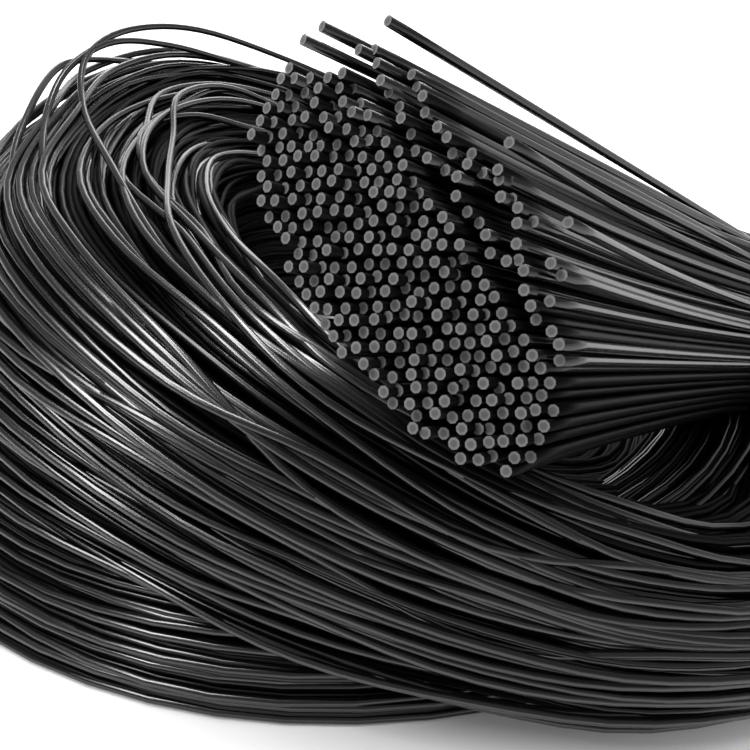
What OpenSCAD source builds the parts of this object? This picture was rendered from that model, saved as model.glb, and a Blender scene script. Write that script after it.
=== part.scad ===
// Coil of wire rod: loose turns of round rod, fanned up on one side, with a flared bundle of cut ends.
// Units are millimetres, +Z is up, the origin is on the floor at the middle of the coil's box.

/* [Rod] */
// diameter of one rod
wire_d = 5.5; // [5:0.1:6]
// spacing of the rods in a laid turn, a little under the diameter so that neighbours bed together
lay_share = 0.964; // [0.95:0.002:0.975]
// clearance kept between neighbouring bodies
seat_gap = 0.3; // [0.2:0.05:0.5]

/* [Lower turns] */
// bore of the lower turns
lower_bore_d = 550; // [530:1:570]
// rods across the lower turns
lower_cols = 20; // [18:1:21]
// rods up the lower turns
lower_rows = 9; // [7:2:9]
// depth of the flats where the lowest rods bear on the floor
floor_flat = 0.2; // [0.1:0.05:0.4]

/* [Upper turns] */
// bore of the upper turns
upper_bore_d = 583; // [575:1:595]
// rods across the upper turns
upper_cols = 13; // [11:1:14]
// rods up the upper turns
upper_rows = 13; // [11:2:13]
// sideways place of the upper turns
upper_x = 145; // [140:1:150]
// fore and aft place of the upper turns
upper_y = -36; // [-42:1:-30]
// angle by which the left side of the upper turns stands up
upper_lift = 21; // [19:0.5:22]
// sideways place of the line where the upper turns bend up
hinge_x = 301; // [300:1:310]
// angle of that line, seen from above
hinge_turn = 13.7; // [12:0.1:15]

/* [Middle turns] */
// bore of the middle turns
middle_bore_d = 572; // [566:1:580]
// rods across the middle turns
middle_cols = 15; // [13:1:16]
// rods up the middle turns
middle_rows = 11; // [9:2:11]
// sideways place of the middle turns
middle_x = 46; // [42:1:50]
// fore and aft place of the middle turns
middle_y = -16; // [-20:1:-12]
// angle by which the middle turns stand up
middle_lift = 10.5; // [9.5:0.25:10.5]
// depth of the line about which they stand up, below the top of the lower turns
middle_sink = 57.5; // [57.5:0.5:59.5]
// sweep of the middle turns about the left side
middle_sweep = 130; // [126:1:132]

/* [Tail] */
// radius of the bend where the tail leaves the coil
bend_r = 138; // [134:1:142]
// sweep of the bend
bend_sweep = 62; // [60:1:64]
// bearing of the end of the bend about the coil
bend_bearing = 15; // [13:1:17]
// tilt of the plane of the bend
bend_tilt = 22.5; // [21:0.25:24]
// bearing of the place where the bend comes down on the lower turns
bend_place = 8; // [7:0.5:9]
// distance of that place outside the middle of their width
bend_out = 22; // [18:1:26]
// radius of the run of the tail along the top of the lower turns
run_r = 300; // [295:1:305]
// sweep of that run
run_sweep = 28; // [24:1:29]
// rings of rods about the middle rod of the tail
tail_rings = 9; // [8:1:9]
// length of the straight tail
tail_len = 414; // [400:1:425]
// half length of the flared end of the tail
flare_long = 97; // [92:1:100]
// half width of the flared end of the tail
flare_wide = 60; // [56:1:64]
// angle of the long way of the flare
flare_turn = -33; // [-37:1:-29]
// shift of the flared end to the left
flare_shift = 4; // [0:1:8]
// scatter of the cut ends along the rods
cut_scatter = 9; // [0:1:12]
// turn of the cut face to the right, degrees
cut_turn = 36; // [30:1:40]
// nod of the cut face upwards, degrees
cut_nod = 27; // [22:1:30]
// scatter of the cut ends across the flare
flare_scatter = 0.4; // [0:0.1:0.6]

/* [Hidden] */
lay = wire_d * lay_share;
row_rise = lay * sin(60);
root_pitch = wire_d + seat_gap + 0.05;
steel = [0.07, 0.07, 0.075];
far = 2000;
lower_top = stack_height(lower_rows) - floor_flat;
tail_r = tail_rings * lay + wire_d / 2;
bend_reach = (lower_bore_d + stack_width(lower_cols)) / 2 + bend_out;
hinge_y = upper_y;
// the upper turns' centre in the frame of the hinge line
hinge_off = (hinge_x - upper_x) * cos(hinge_turn);
hinge_along = (hinge_x - upper_x) * -sin(hinge_turn);
// radii of the upper turns: the middle of the section, the top rod inside and the bottom rod outside
upper_lean = (upper_rows - 1) * lay / 2;
upper_mid_r = upper_bore_d / 2 + (stack_width(upper_cols) + upper_lean) / 2;
upper_out_r = upper_bore_d / 2 + stack_width(upper_cols) + upper_lean;
// half the arc that lies flat: the raised arc starts where its outside comes down to the floor
hinge_half = acos(hinge_off / (upper_out_r - wire_d / 2));
raised_in = (upper_bore_d + wire_d) / 2 * [cos(hinge_half), sin(hinge_half)];
raised_nod = row_height(upper_rows - 2.4) * sin(upper_lift)
    + (hinge_off - raised_in[0]) * (1 - cos(upper_lift)) + seat_gap;
flat_half = atan2(raised_in[1], raised_in[0] + raised_nod);
// the middle of the whole coil seen from above, where the origin is
lower_out_r = lower_bore_d / 2 + stack_width(lower_cols);
raised_slip = hinge_off * (1 - cos(upper_lift)) + wire_d / 2 * sin(upper_lift);
raised_lean = sin(hinge_turn) * sin(upper_lift);
upper_front = upper_y - raised_slip * sin(hinge_turn) - wire_d / 2
    - (upper_out_r - wire_d / 2) * sqrt(1 - raised_lean * raised_lean);
middle_of_all = [(upper_x + upper_out_r - lower_out_r) / 2, (lower_out_r + upper_front) / 2, 0];
// lap between the filled rows of a section
core_lap = wire_d * 0.07;

// rods in row k of a laid section; each row beds in the hollows of the one below
function in_row(k, rows, cols) =
    k == 0 || k == rows - 1 ? cols - 2 : cols - (k % 2);
function row_half(k, rows, cols) = (in_row(k, rows, cols) - 1) / 2 * lay;
function row_height(k) = wire_d / 2 + k * row_rise;
function core_low(k) = row_height(k) - (k == 0 ? core_lap : (row_rise + core_lap) / 2);
function core_high(k, rows) =
    row_height(k) + (k == rows - 1 ? core_lap : (row_rise + core_lap) / 2);
function stack_height(rows) = row_height(rows - 1) + wire_d / 2;
function stack_width(cols) = (cols - 1) * lay + wire_d;

// the same for a leaning section, where each row steps half a rod inwards over the one below
function lean_shift(k, rows) = ((rows - 1) / 2 - k) * lay / 2;

// section of a stack of turns: the rounds of its outer rods about a filled middle
module laid_section(rows, cols) {
    for (k = [0 : rows - 1])
        translate([-row_half(k, rows, cols), core_low(k)])
            square([2 * row_half(k, rows, cols), core_high(k, rows) - core_low(k)]);
    for (k = [0 : rows - 1], j = [0 : in_row(k, rows, cols) - 1])
        if (k == 0 || k == rows - 1 || j == 0 || j == in_row(k, rows, cols) - 1)
            translate([j * lay - row_half(k, rows, cols), row_height(k)]) circle(d = wire_d);
}

// section of a stack that leans inwards
module leaning_section(rows, cols) {
    for (k = [0 : rows - 1]) {
        translate([lean_shift(k, rows) - (cols - 1) / 2 * lay, core_low(k)])
            square([(cols - 1) * lay, core_high(k, rows) - core_low(k)]);
        for (j = [0 : cols - 1])
            if (k == 0 || k == rows - 1 || j == 0 || j == cols - 1)
                translate([lean_shift(k, rows) + (j - (cols - 1) / 2) * lay, row_height(k)])
                    circle(d = wire_d);
    }
}

// turned stack of turns about the Z axis, over a sweep that starts at a bearing
module turned_stack(bore, rows, cols, start, sweep) {
    rotate([0, 0, start])
        rotate_extrude(angle = sweep)
            translate([(bore + stack_width(cols)) / 2, 0]) laid_section(rows, cols);
}

// everything above a level
module above(level) {
    translate([-far / 2, -far / 2, level]) cube(far);
}

// the coil is drawn about the lower turns' centre and moved to the origin
module centred() {
    translate(-middle_of_all) children();
}

module lower_turns() {
    color(steel) centred()
        intersection() {
            translate([0, 0, -floor_flat])
                turned_stack(lower_bore_d, lower_rows, lower_cols, 0, 360);
            above(0);
        }
}

// frame of the hinge line of the upper turns: it is the Y axis, the turns rise on its left
module at_hinge() {
    translate([hinge_x, hinge_y, 0]) rotate([0, 0, -hinge_turn]) children();
}

// arc of the upper turns between two bearings, in the frame of the hinge line
module upper_arc(start, sweep) {
    translate([-hinge_off, hinge_along, 0]) rotate([0, 0, start])
        rotate_extrude(angle = sweep) translate([upper_mid_r, 0])
            leaning_section(upper_rows, upper_cols);
}

module upper_turns() {
    color(steel) centred()
        at_hinge() {
            upper_arc(-flat_half, 2 * flat_half);
            rotate([0, upper_lift, 0]) upper_arc(hinge_half, 360 - 2 * hinge_half);
        }
}

module middle_turns() {
    color(steel) centred()
        intersection() {
            translate([middle_x + middle_bore_d / 3, middle_y, lower_top - middle_sink])
                rotate([0, middle_lift, 0])
                    translate([-middle_bore_d / 3, 0, 0])
                        turned_stack(middle_bore_d, middle_rows, middle_cols,
                            180 - middle_sweep / 2, middle_sweep);
            above(lower_top + seat_gap);
        }
}

// place where the bend comes down on the lower turns and turns level
module at_landing() {
    rotate([0, 0, bend_place]) translate([bend_reach, 0, lower_top + seat_gap + tail_r])
        rotate([0, 0, bend_bearing - bend_place]) children();
}

// frame of the bend: its axis is Z, and it ends on the X axis
module at_bend() {
    at_landing() rotate([0, bend_tilt, 0]) translate([-bend_r, 0, 0]) children();
}

// section of the tail: a ring of rods about a filled middle
module tail_section() {
    circle(r = tail_rings * lay + core_lap);
    for (j = [1 : 6 * tail_rings])
        rotate(j * 60 / tail_rings) translate([tail_rings * lay, 0]) circle(d = wire_d);
}

module tail_bend() {
    color(steel) centred() {
        at_bend() rotate([0, 0, -bend_sweep])
            rotate_extrude(angle = bend_sweep) translate([bend_r, 0]) tail_section();
        at_landing() translate([-run_r, seat_gap, 0])
            rotate_extrude(angle = run_sweep) translate([run_r, 0]) tail_section();
    }
}

// rod from one point to another
module rod(from, to) {
    way = to - from;
    translate(from) rotate([0, acos(way[2] / norm(way)), atan2(way[1], way[0])])
        cylinder(d = wire_d, h = norm(way));
}

// place of rod j of ring i across the tail, in pitches
function across(i, j) = i == 0 ? [0, 0] : i * [cos(60 * j / i + 17 * i), sin(60 * j / i + 17 * i)];
// the same place spread over the flare
function flared(q) =
    let (c = cos(flare_turn), s = sin(flare_turn),
        along = (q[0] * c + q[1] * s) * flare_long / tail_rings,
        wide = (q[1] * c - q[0] * s) * flare_wide / tail_rings)
    [along * c - wide * s - flare_shift, along * s + wide * c];

module cut_rods() {
    color(steel) centred()
        at_bend() rotate([0, 0, -bend_sweep]) translate([bend_r, 0, 0])
            for (i = [0 : tail_rings], j = [0 : max(0, 6 * i - 1)]) {
                q = across(i, j);
                tip = flared(q);
                luck = rands(-1, 1, 3, 100 * i + j);
                back = tip[0] * tan(cut_turn) + tip[1] * tan(cut_nod) + cut_scatter * luck[2];
                rod([q[0] * root_pitch, -2 * seat_gap, q[1] * root_pitch],
                    [tip[0] + flare_scatter * luck[0], back - tail_len, tip[1] + flare_scatter * luck[1]]);
            }
}

lower_turns();
middle_turns();
upper_turns();
tail_bend();
cut_rods();
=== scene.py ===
# %% [markdown]
# # A loose coil of wire rod
# The object is a coil of black wire rod: a few hundred rods that run together round the coil, and leave
# it in one flared bundle whose sheared ends face the viewer. The solids give the sizes, and this script
# lays the single rods in and around the room that the solids take. The solids come in first.

# %% Solids and sizes
import math

import bpy
import numpy as np
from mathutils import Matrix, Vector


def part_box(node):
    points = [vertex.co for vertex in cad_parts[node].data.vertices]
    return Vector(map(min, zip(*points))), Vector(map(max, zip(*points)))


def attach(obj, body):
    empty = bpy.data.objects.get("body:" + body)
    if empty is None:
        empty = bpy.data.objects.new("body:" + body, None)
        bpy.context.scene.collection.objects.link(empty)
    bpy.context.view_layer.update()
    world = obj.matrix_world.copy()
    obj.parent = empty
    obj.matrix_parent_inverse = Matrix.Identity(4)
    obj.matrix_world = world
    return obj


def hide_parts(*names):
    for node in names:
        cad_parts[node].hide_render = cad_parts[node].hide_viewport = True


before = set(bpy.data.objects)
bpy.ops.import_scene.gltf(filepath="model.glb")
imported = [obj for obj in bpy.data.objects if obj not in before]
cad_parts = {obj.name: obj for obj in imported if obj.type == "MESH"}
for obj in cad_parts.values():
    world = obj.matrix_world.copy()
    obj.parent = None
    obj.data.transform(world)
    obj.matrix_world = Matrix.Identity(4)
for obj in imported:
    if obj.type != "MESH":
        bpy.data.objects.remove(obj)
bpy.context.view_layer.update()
ROD = 0.0055
SEED = 21
ring_lo, ring_hi = (np.array(p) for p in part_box("lower_turns"))
coil_centre = (ring_lo + ring_hi) / 2 * [1, 1, 0]
luck = np.random.default_rng(SEED)

# %% [markdown]
# ## Directions and units
# All lengths below are in rod diameters, because the rod is the one size that the photo gives directly,
# and they are counted from the middle of the lower turns. The sheared face of the tail looks at the
# viewer, so its own directions are set up here: to the right, up along the face, and away from the
# viewer.

# %% Directions
def turned(deg, a, b):
    angle = math.radians(deg)
    return math.cos(angle) * a + math.sin(angle) * b

VIEW_DOWN = 30
EYE_RIGHT, EYE_FRONT, EYE_HIGH = 4, 130, 75.5
east, north, up = np.eye(3)
face_up = turned(VIEW_DOWN, up, north)
face_away = turned(-VIEW_DOWN, north, up)
eye_spot = EYE_RIGHT * east - EYE_FRONT * north + EYE_HIGH * up
print("looking along", face_away.round(2))

# %% [markdown]
# ## The rods across the tail
# On the sheared face the rods lie evenly, like cells in a comb, over an oval that slopes down to the
# right. Points thrown at random would clump and leave holes. So a comb of points is laid out, each point
# is shifted a little, and the ones nearest the middle of the oval are kept.

# %% Comb of rods
COUNT = 331
LONG, WIDE, LONG_WAY = 18.4, 7.9, -57
PITCH, SHIFT = 1.25, 0.11
ROW_SHARE = math.sqrt(0.75)
REACH = range(-20, 21)
comb = np.array([((i + 0.5 * (j % 2)) * PITCH, j * PITCH * ROW_SHARE) for i in REACH for j in REACH])
comb = comb + SHIFT * luck.normal(size=comb.shape)
oval = comb / [LONG, WIDE]
oval = oval[np.argsort(np.hypot(*oval.T))[:COUNT]]
on_long, on_wide = (oval / np.hypot(*oval.T).max()).T
print(COUNT, "rods kept of", len(comb), "places in the comb")

# %% [markdown]
# ## Round bundle and fan
# Behind the face the rods close up to a round bundle, and where the coil has sprung open they spread into
# a fan. Pressing the oval to a disc gives each rod its place in the bundle. Sorting the disc from left to
# right gives its place in the fan, so rods that are neighbours in one stay near each other in the other.

# %% Places in bundle and fan
SORT_SHIFT, FAN_SHIFT = 0.02, 0.02
slope = math.radians(LONG_WAY)
long_axis = [math.cos(slope), math.sin(slope)]
wide_axis = [-math.sin(slope), math.cos(slope)]
disc = np.outer(on_long, long_axis) + np.outer(on_wide, wide_axis)
order = np.argsort(disc[:, 0] + SORT_SHIFT * luck.normal(size=COUNT))
rank = np.empty(COUNT)
rank[order] = np.arange(COUNT)
fan_s = np.clip((rank + 0.5) / COUNT + FAN_SHIFT * luck.normal(size=COUNT), 0, 1)
fan_t = luck.random(COUNT)
disc_s, disc_t = (disc[:, 0] + 1) / 2, (1 - disc[:, 1]) / 2
print("places across the fan go from", fan_s.min().round(2), "to", fan_s.max().round(2))

# %% [markdown]
# ## Painted sheen and shade of the rods
# Rods on top of the fan catch the light and get a painted sheen, and the ones below get painted shade and
# stay dark. A material alone can't know how deep a rod lies, so each rod gets a number for its sheen here,
# from its depth in the fan. Near the eye, at the start of the fan, a random part of the rods is painted
# dark too, as painted shade on the inner wall.

# %% Painted sheen from depth
TOP_DEPTH, TOP_FADE, SHADED_LEAST = 0.22, 0.12, 0.04
EYE_SIDE, SHADED_SHARE, SHADED_SHEEN = 0.18, 0.55, 0.08
SHADE_PICK_SEED = 5
HALF = 0.5
# Painted sheen and shade: rods high in the fan keep their coat, deeper rods are painted dark.
depth_sheen = np.clip((TOP_DEPTH - fan_t) / TOP_FADE, SHADED_LEAST, 1)
shade_pick = np.random.default_rng(SHADE_PICK_SEED).random(COUNT)
# Painted shade near the eye: a random part of the rods there is made dark.
depth_sheen[(fan_s < EYE_SIDE) & (shade_pick < SHADED_SHARE)] *= SHADED_SHEEN
print(COUNT, "rods,", int((depth_sheen > HALF).sum()), "of them on top")

# %% [markdown]
# ## Sections of the tail and its bend
# The rods go back from the face as a straight tail, bend down to the floor and join the coil. Each rod
# could be drawn by hand, but hundreds of them need a rule. A section is a curved strip across the rods:
# it starts at one edge, goes over a crown and ends at the other edge, and it has a depth behind that
# curve. A round bundle is the same thing with a straight strip and a depth as large as its height. Here a
# section takes a place, the bearing of the rods, and half its width and height.

# %% Tail and bend
def strip(start, crown, end, depth, spread):
    return dict(start=start, crown=crown, end=end, depth=depth, spread=spread)

def round_section(centre, across, over):
    return strip(centre - across + over, centre + over, centre + across + over, -2 * over, 0.0)

def tail_section(x, y, z, bearing, wide, tall):
    out = turned(bearing - 90, east, north)
    return round_section(x * east + y * north + z * up, wide * out, tall * up)

way = [
    tail_section(58, -15, 16.5, 45, 8, 12.5),
    tail_section(74, 3, 12.5, 60, 8.5, 10),
    tail_section(80, 19, 8.5, 95, 11, 7),
    tail_section(71, 36, 5.6, 126, 13, 5),
    tail_section(55, 48, 9.5, 146, 11, 6),
    tail_section(36, 54, 14.5, 163, 10, 7)]
BEND_END = 3
print(len(way), "round sections, the lowest at number", BEND_END)

# %% [markdown]
# ## Sections of the upper turns
# The upper turns rise to a high fan on the left, come down at the front, lie flat on the right and run
# into the lower turns at the back. A plain ring wouldn't show that, so their sections stand round an eye
# at chosen bearings. A row holds the bearing in degrees, then start, crown and end as a radius and a
# height, then the depth, and how far the rods have gone from their places in the bundle to their places
# in the fan.

# %% Upper turns
def polar_section(eye, bearing, start, crown, end, depth, spread):
    out = turned(bearing, east, north)
    places = [eye + r * out + z * up for r, z in (start, crown, end)]
    along = np.array([end[0] - start[0], end[1] - start[1]])
    along = along / np.linalg.norm(along)
    inward = along[1] * out - along[0] * up
    return strip(*places, depth * inward, spread)

upper_eye = 14 * east - 4 * north
upper_way = (
    (100, (42, 24), (56, 33), (64, 22), 10, 0.7),
    (120, (39, 28), (62, 38.5), (70, 22), 8, 1),
    (140, (35, 32), (60.5, 43), (73, 20), 7, 1),
    (160, (34, 35), (59, 43), (75, 17), 7, 1),
    (180, (34, 36.5), (59, 41), (76, 15), 7, 1),
    (200, (34.5, 36.3), (60, 38.5), (74, 14), 9, 1),
    (220, (36.5, 35.2), (60, 35.5), (69.5, 13.5), 10, 1),
    (240, (43.5, 35), (60.5, 29.5), (65.5, 10.5), 11, 1),
    (255, (50, 32.2), (62, 24), (65.5, 8), 11.5, 1),
    (270, (55.5, 26.5), (64.5, 18), (67, 6), 11, 1),
    (284, (58.5, 19.8), (67, 12.8), (70, 4.5), 10.5, 1),
    (300, (60, 13), (69.5, 9.5), (73, 3), 9.5, 1),
    (322, (63.5, 10.5), (74, 9.5), (81.5, 1.5), 9.5, 1),
    (345, (65, 10), (77, 9), (83.5, 1), 9.5, 1),
    (370, (64.5, 10), (76.5, 9), (83, 1), 9.5, 1),
    (395, (61, 10), (72, 9.5), (79, 1.5), 9.5, 1),
    (420, (55, 12), (67, 12.5), (74, 2.5), 10, 1),
    (445, (48, 13), (60, 14), (68, 2.5), 10, 1))
way += [polar_section(upper_eye, *row) for row in upper_way]
UPPER_END = len(way)
print(len(upper_way), "sections for the upper turns")

# %% [markdown]
# ## Sections of the lower turns
# The lower turns lie flat on the floor and are the same all the way round, so one section is repeated at
# even bearings. The last two get lower and draw in, which tucks the ends of the rods under the turns
# above them.

# %% Lower turns
lower_eye = 0 * east
LOWER_SHAPE = ((50.8, 7.2), (61.5, 8.0), (69.2, 1.4), 7.0, 1)
LOWER_FROM, LOWER_TO, LOWER_EVERY = 470, 771, 30
lower_way = tuple((bearing, *LOWER_SHAPE) for bearing in range(LOWER_FROM, LOWER_TO, LOWER_EVERY))
lower_way += (
    (795, (50.8, 5.2), (59.5, 5.4), (66, 1.2), 5, 1),
    (812, (50.8, 3.2), (56.5, 3.2), (61.5, 1.0), 3, 1))
way += [polar_section(lower_eye, *row) for row in lower_way]
print(len(way), "sections after the tail")

# %% [markdown]
# ## The straight tail
# From its tip on the sheared face each rod runs almost straight to its place in the first section. The
# shears left the tips uneven, and along the upper edge of the face the rods have sprung apart. So a tip
# is the rod's place on the oval, spaced out near that edge and scattered along the view. A slight bow
# keeps the tail from looking ruled.

# %% Tips and tail
def in_section(sec, s, t):
    bulge = 2 * sec["crown"] - (sec["start"] + sec["end"]) / 2
    s, t = s[:, None], t[:, None]
    curve = (1 - s) ** 2 * sec["start"] + 2 * s * (1 - s) * bulge + s ** 2 * sec["end"]
    return curve + t * sec["depth"]

EDGE_FROM, EDGE_SPRING, EDGE_LEAST = 0.55, 1.5, 0.3
FACE_RIGHT, FACE_FRONT, FACE_HIGH = 6.0, 65, 48.1
TIP_SCATTER, FACE_LEAN = 0.8, 2.5
TAIL, BOW = 4, 4.0
long_way = turned(LONG_WAY, east, face_up)
wide_way = turned(LONG_WAY + 90, east, face_up)
edge = np.maximum(on_wide - EDGE_FROM, 0)
spaced = on_wide + EDGE_SPRING * edge * luck.uniform(EDGE_LEAST, 1, COUNT)
face_centre = FACE_RIGHT * east - FACE_FRONT * north + FACE_HIGH * up
tip_depth = TIP_SCATTER * luck.uniform(-1, 1, COUNT) - FACE_LEAN * on_long
tips = (face_centre + LONG * on_long[:, None] * long_way + WIDE * spaced[:, None] * wide_way
        + tip_depth[:, None] * face_away)
roots = in_section(way[0], disc_s, disc_t)
stops = []
for k in range(TAIL):
    part = k / TAIL
    stops.append(tips + (roots - tips) * part + 4 * BOW * part * (1 - part) * face_away)
print("the tail is", np.linalg.norm(roots - tips, axis=1).mean().round(1), "rod diameters long")

# %% [markdown]
# ## Rods through the sections
# After the tail a rod takes its place in each section. Rods that kept their places exactly would lie
# parallel, as on a drum. So each wanders a little, more in the fan than in the bundle, and part of its
# wander is kept from one section to the next, because a rod that has strayed comes back slowly.

# %% Places of the rods in the sections
KEPT_WANDER, BUNDLE_WANDER, FAN_WANDER = 0.6, 0.12, 0.36
wander = np.zeros((COUNT, 3))
for k, sec in enumerate(way):
    s = disc_s + (fan_s - disc_s) * sec["spread"]
    t = disc_t + (fan_t - disc_t) * sec["spread"]
    size = BUNDLE_WANDER + FAN_WANDER * sec["spread"] if k else 0.0
    wander = KEPT_WANDER * wander + size * luck.normal(size=(COUNT, 3))
    stops.append(in_section(sec, s, t) + wander)
stops = np.stack(stops, 1)
print("rods pass", stops.shape[1], "places each")

# %% [markdown]
# ## Smooth lines
# Rod is springy and never shows a corner. Straight stretches between the places would, so a spline runs
# through them, in small steps. It is one spline from the tip to the end of the lower turns, so no corner
# shows where the rods are later cut into pieces. A rod can't go below the floor, so its line is held a
# radius above it.

# %% One line for each rod
RADIUS = 0.5

def smooth(points, steps):
    before = 2 * points[:, :1] - points[:, 1:2]
    after = 2 * points[:, -1:] - points[:, -2:-1]
    p = np.concatenate([before, points, after], 1)
    out = []
    for k in range(1, p.shape[1] - 2):
        a, b, c, d = (p[:, k + i] for i in (-1, 0, 1, 2))
        for u in np.arange(steps[k - 1]) / steps[k - 1]:
            out.append(0.5 * (2 * b + (c - a) * u + (2 * a - 5 * b + 4 * c - d) * u ** 2
                              + (3 * b - a - 3 * c + d) * u ** 3))
    out.append(p[:, -2])
    lines = np.stack(out, 1)
    lines[:, :, 2] = np.maximum(lines[:, :, 2], RADIUS)
    return lines

TAIL_STEP, UPPER_STEP, LOWER_STEP = 4, 4, 5
tail_spans = TAIL + BEND_END
upper_spans = UPPER_END - 1 - BEND_END
lower_spans = stops.shape[1] - TAIL - UPPER_END
lines = smooth(stops, [TAIL_STEP] * tail_spans + [UPPER_STEP] * upper_spans + [LOWER_STEP] * lower_spans)
seam = TAIL_STEP * tail_spans
low_seam = seam + UPPER_STEP * upper_spans
print("each line has", lines.shape[1], "points, with seams at", seam, "and", low_seam)

# %% [markdown]
# ## Rings round a line
# A rod is a tube round its line. A Curve object with a bevel would make it, but hundreds of curves are
# slow to convert, and all rods of a piece have the same number of points. So the rings of all of them are
# worked out at once as arrays. Each ring's first direction is carried on from the ring before, so the
# tube doesn't twist. A smaller ring at both ends makes the rounded rim that shears leave.

# %% Rings
TURN_SIDES, TAIL_SIDES, LOOSE_SIDES, TIP_SIDES = 6, 8, 8, 10
END_SHARE = 0.6
first_side = up + 0.01 * east

def unit(v):
    return v / np.maximum(np.linalg.norm(v, axis=-1, keepdims=True), 1e-9)

def tube_rings(lines, sides):
    along = unit(np.gradient(lines, axis=1))
    side = np.empty_like(lines)
    side[:, 0] = unit(np.cross(along[:, 0], first_side))
    for k in range(1, lines.shape[1]):
        lean = np.sum(side[:, k - 1] * along[:, k], -1, keepdims=True)
        side[:, k] = unit(side[:, k - 1] - along[:, k] * lean)
    over = np.cross(along, side)
    turn = np.arange(sides) * 2 * np.pi / sides
    ring = (np.cos(turn)[:, None] * side[:, :, None] + np.sin(turn)[:, None] * over[:, :, None]) * RADIUS
    first = lines[:, :1, None] + END_SHARE * ring[:, :1]
    last = lines[:, -1:, None] + END_SHARE * ring[:, -1:]
    return np.concatenate([first, lines[:, :, None] + ring, last], 1)

print("one whole rod has rings", tube_rings(lines[:1], TURN_SIDES).shape)

# %% [markdown]
# ## Faces between the rings
# Each ring is joined to the next by a band of four-sided faces, and one face closes each end. Blender
# wants the corners of a face as numbers of vertices, in an order that makes the face look outwards. The
# numbers follow from counting, so they are worked out for all rods together.

# %% Faces
def tube_faces(n, m, sides):
    base = np.arange(n)[:, None, None] * m * sides + np.arange(m - 1)[None, :, None] * sides
    a = base + np.arange(sides)
    b = base + (np.arange(sides) + 1) % sides
    bands = np.stack([a, b, b + sides, a + sides], -1).reshape(-1, 4)
    first = np.arange(n)[:, None] * m * sides + np.arange(sides)[::-1]
    last = np.arange(n)[:, None] * m * sides + (m - 1) * sides + np.arange(sides)
    return bands, first, last

print("one whole rod has", len(tube_faces(1, lines.shape[1] + 2, TURN_SIDES)[0]), "faces round it")

# %% [markdown]
# ## Mesh of many rods
# All rods of a piece are joined in one mesh, because hundreds of objects would be slow. Three attributes
# tell the material what it can't see from the shape: where a sheared end is bare, a tone that differs
# from rod to rod, and the painted sheen of the rod at that point, which paints shade on deep rods. Sides
# are shaded smooth, and the ends stay flat.

# %% Rod mesh
# The third attribute carries painted sheen on top rods and painted shade on deep ones.
CUT, TONE, PAINTED_SHEEN = "cut_end", "rod_tone", "rod_painted_sheen"
RIM_BARE, CAP_BARE = 1, 0.6

def keep(mesh, name, domain, values):
    layer = mesh.attributes.new(name, "FLOAT", domain)
    layer.data.foreach_set("value", values.astype(np.float32))

def rod_mesh(name, rings, sides):
    n, m = rings.shape[:2]
    bands, first, last = tube_faces(n, m, sides)
    verts = rings.reshape(-1, 3) * ROD + coil_centre
    loops = np.concatenate([bands.ravel(), first.ravel(), last.ravel()])
    sizes = np.concatenate([np.full(len(bands), 4), np.full(2 * n, sides)])
    starts = np.concatenate([[0], np.cumsum(sizes)[:-1]])
    mesh = bpy.data.meshes.new(name)
    mesh.vertices.add(len(verts))
    mesh.vertices.foreach_set("co", verts.astype(np.float32).ravel())
    mesh.loops.add(len(loops))
    mesh.loops.foreach_set("vertex_index", loops.astype(np.int32))
    mesh.polygons.add(len(sizes))
    mesh.polygons.foreach_set("loop_start", starts.astype(np.int32))
    mesh.update(calc_edges=True)
    return mesh

print("each rod carries", CUT, TONE, PAINTED_SHEEN)

# %% [markdown]
# ## Rods as a piece
# A piece of the coil is such a mesh with its attributes filled in and set on the coil's one body. The
# painted sheen is one number for a rod, or one for each point along it. A piece of turns also stands for
# the solids in the same place, and takes their place in the picture.

# %% Piece maker
def tubes(name, lines, sides, sheen_level, sheared=False):
    rings = tube_rings(lines, sides)
    n, m = rings.shape[:2]
    mesh = rod_mesh(name, rings, sides)
    rim, cap = np.zeros((n, m - 1, sides)), np.zeros(2 * n)
    if sheared:
        rim[:, 0] = RIM_BARE
        cap[:n] = CAP_BARE
    ends = np.zeros((n, m - 1, sides), bool)
    ends[:, [0, -1]] = True
    flat = np.concatenate([ends.ravel(), np.ones(2 * n, bool)])
    mesh.polygons.foreach_set("use_smooth", ~flat)
    # Painted sheen and shade: one number per rod or per point, stored for the coat.
    sheen_level = np.broadcast_to(sheen_level.reshape(n, -1), (n, m - 2))
    sheen_level = np.pad(sheen_level, ((0, 0), (1, 1)), "edge")
    keep(mesh, CUT, "FACE", np.concatenate([rim.ravel(), cap]))
    keep(mesh, TONE, "POINT", np.repeat(luck.random(n), m * sides))
    keep(mesh, PAINTED_SHEEN, "POINT", np.repeat(sheen_level, sides))
    mesh.validate()
    piece = bpy.data.objects.new(name, mesh)
    bpy.context.collection.objects.link(piece)
    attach(piece, "root")
    tris = 2 * n * (m - 1) * sides + 2 * n * (sides - 2)
    print(name, n, "rods", tris, "triangles")
    return piece

def turns(name, lines, sides, sheen_level, *nodes, sheared=False):
    piece = tubes(name, lines, sides, sheen_level, sheared)
    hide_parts(*nodes)
    return piece

print("the solids to stand for are", sorted(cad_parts))

# %% [markdown]
# ## Painted sheen along the tail
# On the tail the rods that catch the light are the ones on its upper side and at the upper end of its
# face, so these get a painted sheen and the rest painted shade. Which these are follows from a rod's place
# on the face, and a random part of them is painted dark as well. Along the bend this painted sheen
# changes into the one that the rod has in the fan, because a jump would show as a line across the rods.

# %% Painted tail sheen
UPPER_SIDE, UPPER_END_FROM = 0.45, 0.35
LONG_PULL, WIDE_PULL, SHEEN_GAIN = 0.6, 0.4, 4
TAIL_LIT_SHARE, TAIL_SHADED = 0.45, 0.1
CHANGE_FROM, CHANGE_TO = -1.4, 1.1
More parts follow.
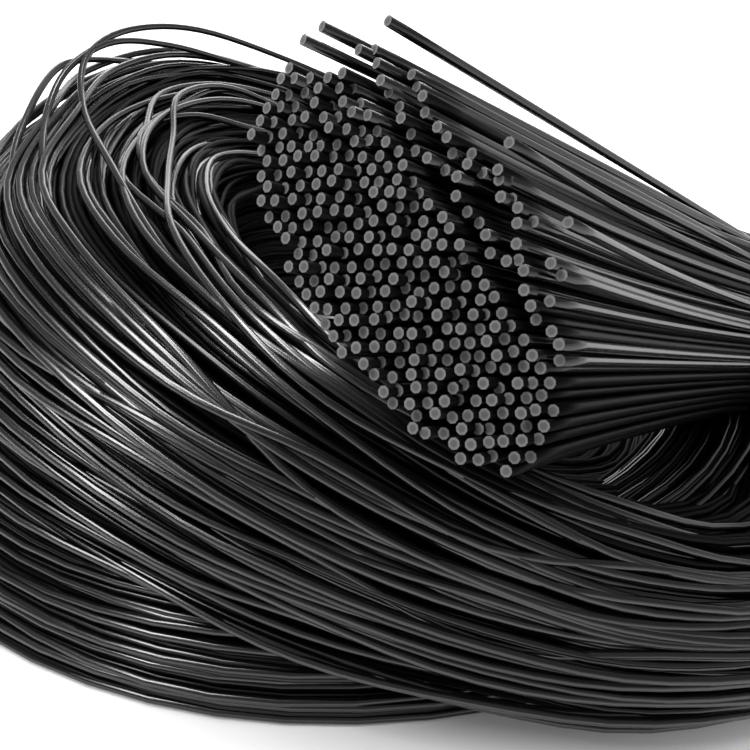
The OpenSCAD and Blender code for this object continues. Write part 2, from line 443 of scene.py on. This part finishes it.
# Painted sheen on the tail's upper side and upper face end, painted shade on the rest, some rods dark at
# random.
outer = np.maximum(on_wide - UPPER_SIDE, -on_long * LONG_PULL - UPPER_END_FROM + WIDE_PULL * on_wide)
tail_sheen = np.clip(SHEEN_GAIN * outer, SHADED_LEAST, 1) * np.where(shade_pick < TAIL_LIT_SHARE, 1, TAIL_SHADED)
later = np.clip(np.linspace(CHANGE_FROM, CHANGE_TO, seam + 1), 0, 1)
tail_sheen = tail_sheen[:, None] + (depth_sheen - tail_sheen)[:, None] * later
print(int((tail_sheen[:, 0] > HALF).sum()), "rods shine at the face")

# %% [markdown]
# ## Five pieces of the same rods
# The lines are cut at hidden places: the tail with its bend, the upper turns that fan out on the left,
# and the lower turns on the floor. The turns are cut once more into the rods nearer the eye and the ones
# farther out, because one mesh of them all would be too heavy. Of these only the tips of the tail are
# sheared.

# %% Tail, upper turns and lower turns
inside = fan_s < HALF
tail, upper, lower = lines[:, :seam + 1], lines[:, seam:low_seam + 1], lines[:, low_seam:]
tail_rods = turns("tail_rods", tail, TAIL_SIDES, tail_sheen, "cut_rods", "tail_bend", sheared=True)
upper_rods = turns("upper_rods", upper[inside], TURN_SIDES, depth_sheen[inside], "upper_turns")
fan_rods = turns("fan_rods", upper[~inside], TURN_SIDES, depth_sheen[~inside], "upper_turns", "middle_turns")
lower_in = turns("lower_rods_in", lower[inside], TURN_SIDES, depth_sheen[inside], "lower_turns")
lower_out = turns("lower_rods_out", lower[~inside], TURN_SIDES, depth_sheen[~inside], "lower_turns")
rods = [tail_rods, upper_rods, fan_rods, lower_in, lower_out]

# %% [markdown]
# ## Lines of the inner turns
# Seen through the eye, the inner wall of the coil is not empty: more turns lie under the raised ones,
# down to the floor, and some have dropped flat on it. They are made in the same way, as one more layer
# that runs right round with its ends laid over each other, and they leave the eye open.

# %% Inner turns
inner_way = (
    (60, (48, 11), (42, 5), (31, 1)),
    (100, (43, 22), (38, 8), (35.5, 1)),
    (140, (38, 29), (37, 15), (35, 1)),
    (180, (36, 32), (33, 19), (28, 6)),
    (210, (37, 32), (31, 22), (23, 11)),
    (240, (43, 30), (33, 21), (17.5, 12)),
    (265, (51, 22), (38, 16), (17, 10)),
    (285, (55, 15), (40, 10), (16.5, 5)),
    (310, (55, 9), (40, 5), (17, 1)),
    (340, (46, 8.5), (34, 4), (19, 1)),
    (370, (40, 8.5), (32, 4), (23, 1)),
    (400, (43, 9), (36, 4), (27, 1)),
    (430, (48, 12), (42, 5), (32, 1)))
INNER, INNER_DEPTH, INNER_WANDER, INNER_STEP = 200, -2.5, 0.4, 4
inner_s = (np.arange(INNER) + luck.random(INNER)) / INNER
inner_t = luck.random(INNER)
wander = np.zeros((INNER, 3))
inner_stops = []
for row in inner_way:
    wander = KEPT_WANDER * wander + INNER_WANDER * luck.normal(size=(INNER, 3))
    sec = polar_section(upper_eye, *row, INNER_DEPTH, 1)
    inner_stops.append(in_section(sec, inner_s, inner_t) + wander)
inner_lines = smooth(np.stack(inner_stops, 1), [INNER_STEP] * (len(inner_way) - 1))
print(INNER, "inner turns through", len(inner_way), "sections")

# %% [markdown]
# ## Rods under the fan
# Between the raised fan and the inner turns the coil is full of rod. Little of it is seen, but without it
# light would fall through the gaps of the fan. So a plain layer fills that room, without any wander. It
# lies as deep as the inner turns do, so both get painted shade and are nearly without sheen.

# %% Middle and inner rods
middle_way = (
    (85, (48, 12), (56, 13), (62, 6)),
    (110, (46, 20), (57, 24), (66, 10)),
    (140, (44, 26), (58, 31), (69, 9)),
    (170, (44, 29), (58, 31), (71, 8)),
    (200, (45, 28), (58, 29), (69, 8)),
    (225, (47, 25), (57, 26), (65, 8)),
    (250, (53, 19), (59, 17), (63, 7)),
    (270, (58, 13), (61, 11), (64, 5)))
MIDDLE, MIDDLE_DEPTH, MIDDLE_STEP = 110, 7, 4
# Painted shade: rods under the fan and the inner turns get almost no coat.
DEEP_SHADE_SHEEN = 0.05
middle_s = (np.arange(MIDDLE) + 0.5) / MIDDLE
middle_t = luck.random(MIDDLE)
middle_sections = [polar_section(upper_eye, *row, MIDDLE_DEPTH, 1) for row in middle_way]
middle_stops = [in_section(sec, middle_s, middle_t) for sec in middle_sections]
middle_lines = smooth(np.stack(middle_stops, 1), [MIDDLE_STEP] * (len(middle_way) - 1))
middle_rods = turns("middle_rods", middle_lines, TURN_SIDES, np.full(MIDDLE, DEEP_SHADE_SHEEN), "middle_turns")
inner_rods = turns("inner_rods", inner_lines, TURN_SIDES, np.full(INNER, DEEP_SHADE_SHEEN), "middle_turns")
rods += [middle_rods, inner_rods]

# %% [markdown]
# ## Rods that cross the fan
# Some rods have sprung up and lie across the others on top of the fan. They follow its sections along the
# top, from one side to the other. A lift, largest at the back, raises them, and a dip at both ends takes
# them in under the other rods, so no end is left in the air. Spring and dip hold one number for each of
# the first sections.

# %% Lines across the fan
SPRUNG, SPRUNG_STEP = 16, 5
spring = (0, 0.5, 0.9, 1, 0.7, 0.4, 0.25, 0.2, 0.15, 0.1, 0.1, 0, 0)
dip = (-3, -0.5, 0.4, 0.4, 0.4, 0.4, 0.4, 0.4, 0.4, 0.4, 0.3, -0.6, -3)
LIFT_LEAST, LIFT_MOST = 0.3, 2.8
FAN_FROM, FAN_TO = 0.05, 0.75
DRIFT, DRIFT_LEAST, DRIFT_MOST = 0.035, 0.02, 0.95
lift = luck.uniform(LIFT_LEAST, LIFT_MOST, SPRUNG)
along_fan = np.sort(luck.uniform(FAN_FROM, FAN_TO, SPRUNG))
over_stops = []
for row, rise, sink in zip(upper_way, spring, dip):
    along_fan = along_fan + DRIFT * luck.normal(size=SPRUNG)
    along_fan = np.clip(along_fan, DRIFT_LEAST, DRIFT_MOST)
    on_top = in_section(polar_section(upper_eye, *row), along_fan, np.zeros(SPRUNG))
    over_stops.append(on_top + (sink + lift * rise)[:, None] * up)
over_lines = smooth(np.stack(over_stops, 1), [SPRUNG_STEP] * (len(over_stops) - 1))
print(SPRUNG, "rods cross the fan, lifted by up to", lift.max().round(1))

# %% [markdown]
# ## Turns that stand up
# Three turns stand up above the coil on its far left and make its outline there. They are drawn place by
# place, because each takes its own way and they stand out against the background. Both ends go down into
# the coil.

# %% Sprung turns
LOOSE_STEP = 6
loose_turns = np.array((
    ((1, -55, 31.5), (-7.5, -51, 33.5), (-14.6, -43, 35.3), (-21.4, -33, 37.9), (-29.5, -18, 41.8),
     (-36.9, -2, 45), (-38.9, 10, 49.6), (-35.1, 22, 51.4), (-26.1, 34, 49.4), (-12.4, 47, 42), (6, 52, 33)),
    ((-14, -52, 29), (-24, -43, 33), (-32, -32, 37), (-38, -18, 41.5), (-41, -5, 45), (-40.5, 6, 48.8),
     (-36.5, 17, 50.4), (-30, 28, 47.9), (-22.7, 37, 43.9), (-16, 44, 40.3), (4, 52, 32)),
    ((-18, -54, 26), (-27, -44, 31.5), (-36, -32, 36), (-42, -18, 41), (-43.4, -5, 45.2), (-43.3, 8, 48),
     (-40.9, 15, 48.1), (-37.1, 24, 46.2), (-34.5, 30, 44.7), (-20, 43, 39), (2, 52, 31))), float)
loose_lines = smooth(loose_turns, [LOOSE_STEP] * (loose_turns.shape[1] - 1))
sprung_turns = tubes("sprung_turns", loose_lines, LOOSE_SIDES, np.ones(len(loose_lines)))
sprung_over = tubes("sprung_over", over_lines, LOOSE_SIDES, np.ones(SPRUNG))
rods += [sprung_turns, sprung_over]

# %% [markdown]
# ## Rods that stick out of the tail
# A few rods lie on top of the tail and stick out past the others. Their sheared tips stand alone against
# the background, so each tip is listed one by one, and it has more sides than the other rods. They are
# straight from the tip to a root in the tail.

# %% Loose ends
END_SPANS, END_STEP = 3, 4
loose_tips = np.array((
    (5.1, -47.1, 63.1), (-0.5, -49.4, 63.0), (-2, -51, 62.2), (2.6, -51.5, 61.5),
    (3.9, -51, 61.4), (4.1, -53, 60.7), (7, -53.5, 59.9), (7.4, -54, 59)))
loose_roots = np.array((
    (59, -9, 27), (58, -15, 28.5), (57, -16, 28), (58, -14, 28),
    (59, -13, 27.5), (57.5, -17, 27.6), (58, -16, 27), (59, -18, 26.5)))
end_stops = [loose_tips + (loose_roots - loose_tips) * k / END_SPANS for k in range(END_SPANS + 1)]
end_lines = smooth(np.stack(end_stops, 1), [END_STEP] * END_SPANS)
sprung_ends = tubes("sprung_ends", end_lines, TIP_SIDES, np.ones(len(end_lines)), sheared=True)
rods.append(sprung_ends)

# %% [markdown]
# ## Sums in a material
# A material is a graph of nodes, and a sum in it takes a node for each sign. Placing them one by one
# hides what is worked out. So a small class holds a socket, and its operators add the Math nodes, which
# lets a material be written as plain expressions. One method makes every other node: its settings come
# first, then its inputs.

# %% Wires between nodes
class Wire:
    def __init__(self, tree, socket=None):
        self.tree, self.socket = tree, socket

    def node(self, kind, *inputs, out=0, **settings):
        n = self.tree.nodes.new(kind)
        for key, value in settings.items():
            setattr(n, key, value)
        for slot, value in zip(n.inputs, inputs):
            if isinstance(value, Wire):
                self.tree.links.new(value.socket, slot)
            elif value is not None:
                slot.default_value = value
        return Wire(self.tree, n.outputs[out])

    def math(self, how, *others):
        return self.node("ShaderNodeMath", self, *others, operation=how)

    def grey(self):
        return self.node("ShaderNodeCombineColor", self, self, self)

    def feed(self, socket):
        self.tree.links.new(self.socket, socket)

    def __add__(self, other):
        return self.math("ADD", other)

    def __mul__(self, other):
        return self.math("MULTIPLY", other)

    def __sub__(self, other):
        return self.math("SUBTRACT", other)

    def __rsub__(self, other):
        return self.node("ShaderNodeMath", other, self, operation="SUBTRACT")

    __radd__ = __add__
    __rmul__ = __mul__

print("a wire knows", [name for name in vars(Wire) if not name.startswith("__")])

# %% [markdown]
# ## Finish of the rod
# The rod has a smooth black skin that mirrors the light in long streaks along each turn, and its sheared
# ends are bare grey metal. The skin is nearly black under a thin clear coat, and the coat is as strong as
# the rod's painted sheen, so rods deep in the coil get painted shade and stay dark. The ends are found by
# the face attribute that the tube maker left, and a fine grain keeps them from looking painted.

# %% Black rod and grey ends
BLACK, BLACK_RANGE = 0.002, 0.003
GREY, GREY_RANGE = 0.12, 0.12
ROUGH, TONE_ROUGH, GRAIN_ROUGH, CUT_ROUGH = 0.38, 0.10, 0.06, 0.2
COAT, COAT_RANGE, COAT_ROUGH, COAT_IOR = 0.75, 0.25, 0.2, 1.65
SKIN_SPECULAR = 0.04
GRAIN_SCALE, GRAIN_DETAIL, GRAIN_FINE = 90.0, 4.0, 0.6
skin = bpy.data.materials.new("black_rod")
skin.use_nodes = True
gloss = skin.node_tree.nodes["Principled BSDF"]
start = Wire(skin.node_tree)
cut, tone, sheen_fac = (
    start.node("ShaderNodeAttribute", out="Fac", attribute_name=name) for name in (CUT, TONE, PAINTED_SHEEN))
place = start.node("ShaderNodeTexCoord", out="Object")
grain = start.node("ShaderNodeTexNoise", place, None, GRAIN_SCALE, GRAIN_DETAIL, GRAIN_FINE)
black = BLACK + BLACK_RANGE * tone
grey = GREY + GREY_RANGE * grain
shade = black + cut * (grey - black)
rough = ROUGH + TONE_ROUGH * tone + GRAIN_ROUGH * grain + cut * CUT_ROUGH
# Painted shade: the coat follows the painted sheen number, so deep rods stay dark.
coat = sheen_fac * (COAT + COAT_RANGE * tone) * (1 - cut)
shade.grey().feed(gloss.inputs["Base Color"])
rough.feed(gloss.inputs["Roughness"])
coat.feed(gloss.inputs["Coat Weight"])
gloss.inputs["Coat Roughness"].default_value = COAT_ROUGH
gloss.inputs["Coat IOR"].default_value = COAT_IOR
gloss.inputs["Specular IOR Level"].default_value = SKIN_SPECULAR
for piece in rods:
    piece.data.materials.append(skin)
print("material on", len(rods), "pieces")

# %% [markdown]
# ## The floor
# The coil lies on a plain pale floor that fades into white. A small floor would show its edge from a low
# view, so it is a very wide plane. Near the coil it is plain paper and keeps the shadow. Farther out it
# glows, but only for rays from the camera, a mirror or glass, so it looks white and sheds no light on the
# coil.

# %% Pale floor
FLOOR_SIZE = 40
PAPER, PAPER_ROUGH = 0.9, 0.9
FADE_FROM, FADE_TO, FLOOR_GLOW = 0.33, 0.56, 0.7
bpy.ops.object.select_all(action="DESELECT")
bpy.ops.mesh.primitive_plane_add(size=FLOOR_SIZE)
floor = bpy.context.object
floor.name = "floor"
paper = bpy.data.materials.new("paper")
paper.use_nodes = True
sheet = paper.node_tree.nodes["Principled BSDF"]
sheet.inputs["Base Color"].default_value = (PAPER, PAPER, PAPER, 1)
sheet.inputs["Roughness"].default_value = PAPER_ROUGH
sheet.inputs["Emission Strength"].default_value = 1
start = Wire(paper.node_tree)
by_camera = start.node("ShaderNodeLightPath", out="Is Camera Ray")
by_mirror = start.node("ShaderNodeLightPath", out="Is Glossy Ray")
by_glass = start.node("ShaderNodeLightPath", out="Is Transmission Ray")
seen = by_camera.math("MAXIMUM", by_mirror).math("MAXIMUM", by_glass)
place = start.node("ShaderNodeTexCoord", out="Object")
apart = start.node("ShaderNodeVectorMath", place, out=1, operation="LENGTH")
far = start.node("ShaderNodeMapRange", apart, FADE_FROM, FADE_TO, 0.0, FLOOR_GLOW,
                 interpolation_type="SMOOTHSTEP")
(seen * far).grey().feed(sheet.inputs["Emission Color"])
floor.data.materials.append(paper)
print("floor", FLOOR_SIZE, "m wide, white from", FADE_TO, "m")

# %% [markdown]
# ## The room
# Behind the floor a white room closes the view. A world of one strength would fill the shadows between
# the rods, which are black on the real coil. So it is white near the horizon, where the camera sees it,
# and much dimmer higher up, where its light would come from.

# %% White room
WALL_FROM, WALL_TO = 0.2, 0.4
WALL_WHITE, SKY_DIM = 1.0, 0.3
world = bpy.data.worlds.new("studio")
bpy.context.scene.world = world
world.use_nodes = True
glow = world.node_tree.nodes["Background"]
glow.inputs["Color"].default_value = (1, 1, 1, 1)
start = Wire(world.node_tree)
aim = start.node("ShaderNodeTexCoord", out="Generated")
height = start.node("ShaderNodeSeparateXYZ", aim, out=2)
wall = start.node("ShaderNodeMapRange", height, WALL_FROM, WALL_TO, WALL_WHITE, SKY_DIM,
                  interpolation_type="SMOOTHSTEP")
wall.feed(glow.inputs["Strength"])
print("room from", WALL_WHITE, "at the horizon to", SKY_DIM, "above")

# %% [markdown]
# ## The lamps
# A round rod mirrors a lamp as a bright line along itself, as long as the lamp is wide in that direction.
# A broad lamp would give each rod a line along its whole length. So the main lamp is a strip over the
# left side, turned to lie across the rods, which gives short streaks side by side. A weak lamp on top and
# one behind lift the rest.

# %% Lamps
def soft_box(name, place, tilt, turn, size, power):
    lean = (math.radians(tilt), 0, math.radians(turn))
    bpy.ops.object.light_add(type="AREA", location=place, rotation=lean)
    lamp = bpy.context.object
    lamp.name = name
    lamp.data.shape = "RECTANGLE"
    lamp.data.size, lamp.data.size_y = size
    lamp.data.energy = power
    lamp.visible_camera = False
    print("lamp", name, power, "W")

soft_box("key", place=(-0.62, -0.05, 1.6), tilt=0, turn=52, size=(2.6, 0.22), power=42)
soft_box("top", place=(-0.1, 0.1, 1.7), tilt=0, turn=0, size=(1.4, 1.0), power=4)
soft_box("back", place=(-0.4, 2.0, 1.0), tilt=-66, turn=0, size=(1.8, 0.7), power=12)

# %% [markdown]
# ## The camera
# The camera stands close, in front of the coil and above it, so that near rods look much thicker than far
# ones. Its place was found from the thickness of the rods over the picture. It has no shift and no blur,
# and colours are shown as they are written.

# %% Camera
LENS, SENSOR, NEAREST = 43.2, 36, 0.01
eye_place = tuple(eye_spot * ROD + coil_centre)
bpy.ops.object.camera_add(location=eye_place, rotation=(math.radians(90 - VIEW_DOWN), 0, 0))
camera = bpy.context.object
camera.data.lens, camera.data.sensor_width = LENS, SENSOR
camera.data.clip_start = NEAREST
bpy.context.scene.camera = camera
bpy.context.scene.view_settings.view_transform = "Standard"
print("camera at", [round(v, 3) for v in eye_place])

# %% [markdown]
# ## Update at the end
# The rods wander, so it isn't certain that they keep to the room of the solids. The last step only
# brings the scene up to date.

# %% Scene update
bpy.context.view_layer.update()
